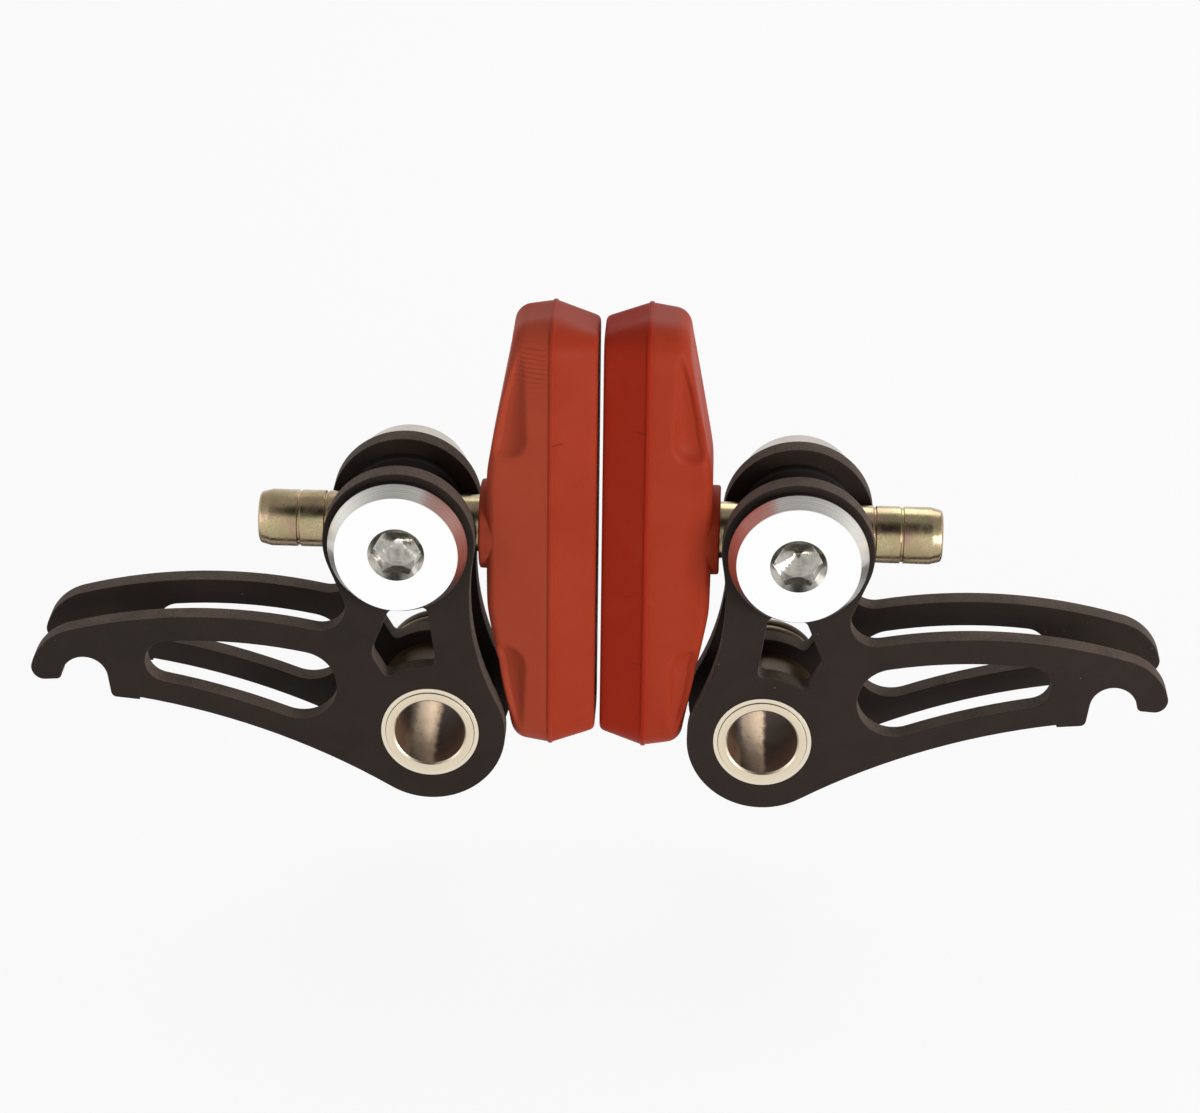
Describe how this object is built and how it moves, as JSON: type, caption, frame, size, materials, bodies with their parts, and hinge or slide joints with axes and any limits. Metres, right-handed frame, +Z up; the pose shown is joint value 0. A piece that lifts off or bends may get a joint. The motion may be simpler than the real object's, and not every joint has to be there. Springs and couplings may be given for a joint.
{
  "type": "cantilever brake",
  "caption": "Bicycle cantilever brake: mirrored double-plate arms with slotted hook levers, pivot sleeves, return springs and post-clamped red pads set face to face.",
  "frame": {"origin": "midway between the two pivot axes, on the plane of the sleeves' rear ends, which sit on the frame", "axes": "+X to the right across the wheel, seen from the front; +Y along the pivots, into the frame; +Z up, from the pivots towards the pads' posts"},
  "size_m": [0.1302, 0.0263, 0.0592],
  "materials": {
    "plate_black": "black anodised, satin, with lighter cut edges",
    "spacer_bronze": "dull bronze",
    "sleeve_nickel": "bright pale nickel plate",
    "bush_bronze": "sintered bronze",
    "spring_steel": "golden zinc plate on drawn wire",
    "bolt_polished": "mirror polished",
    "eye_bolt_steel": "turned steel",
    "nut_satin": "satin turned aluminium",
    "washer_black": "black anodised, turned",
    "post_chromate": "yellow zinc chromate with a faint rainbow tint",
    "pad_rubber": "dark red moulded compound, satin"
  },
  "bodies": {
    "pivots": {"right_pivot_sleeve": "sleeve_nickel", "left_pivot_sleeve": "sleeve_nickel"},
    "right_arm": {"right_front_plate": "plate_black", "right_rear_plate": "plate_black", "right_pivot_spacer": "spacer_bronze", "right_front_bush": "bush_bronze", "right_rear_bush": "bush_bronze", "right_return_spring": "spring_steel", "right_clamp_bolt": "bolt_polished", "right_flange_washer": "washer_black", "right_eye_bolt": "eye_bolt_steel", "right_rear_cone_nut": "nut_satin", "right_front_saddle_washer": "washer_black", "right_rear_saddle_washer": "washer_black"},
    "right_pad": {"right_pad_post": "post_chromate", "right_brake_pad": "pad_rubber"},
    "left_arm": {"left_front_plate": "plate_black", "left_rear_plate": "plate_black", "left_pivot_spacer": "spacer_bronze", "left_front_bush": "bush_bronze", "left_rear_bush": "bush_bronze", "left_return_spring": "spring_steel", "left_clamp_bolt": "bolt_polished", "left_flange_washer": "washer_black", "left_eye_bolt": "eye_bolt_steel", "left_rear_cone_nut": "nut_satin", "left_front_saddle_washer": "washer_black", "left_rear_saddle_washer": "washer_black"},
    "left_pad": {"left_pad_post": "post_chromate", "left_brake_pad": "pad_rubber"}
  },
  "joints": [
    {"name": "right_arm_pivot", "type": "hinge", "parent": "pivots", "child": "right_arm", "pos_m": [0.01917, -0.01331, 0], "axis": [0, 1, 0], "range_deg": [0, 35], "stiffness_Nm_per_rad": 0.4, "deforming": ["right_return_spring"]},
    {"name": "right_pad_swivel", "type": "hinge", "parent": "right_arm", "child": "right_pad", "pos_m": [0.0225, -0.01331, 0.02402], "axis": [1, 0, 0], "range_deg": [-90, 90]},
    {"name": "left_arm_pivot", "type": "hinge", "parent": "pivots", "child": "left_arm", "pos_m": [-0.01917, -0.01331, 0], "axis": [0, -1, 0], "range_deg": [0, 35], "stiffness_Nm_per_rad": 0.4, "deforming": ["left_return_spring"]},
    {"name": "left_pad_swivel", "type": "hinge", "parent": "left_arm", "child": "left_pad", "pos_m": [-0.0225, -0.01331, 0.02402], "axis": [-1, 0, 0], "range_deg": [-90, 90]}
  ]
}
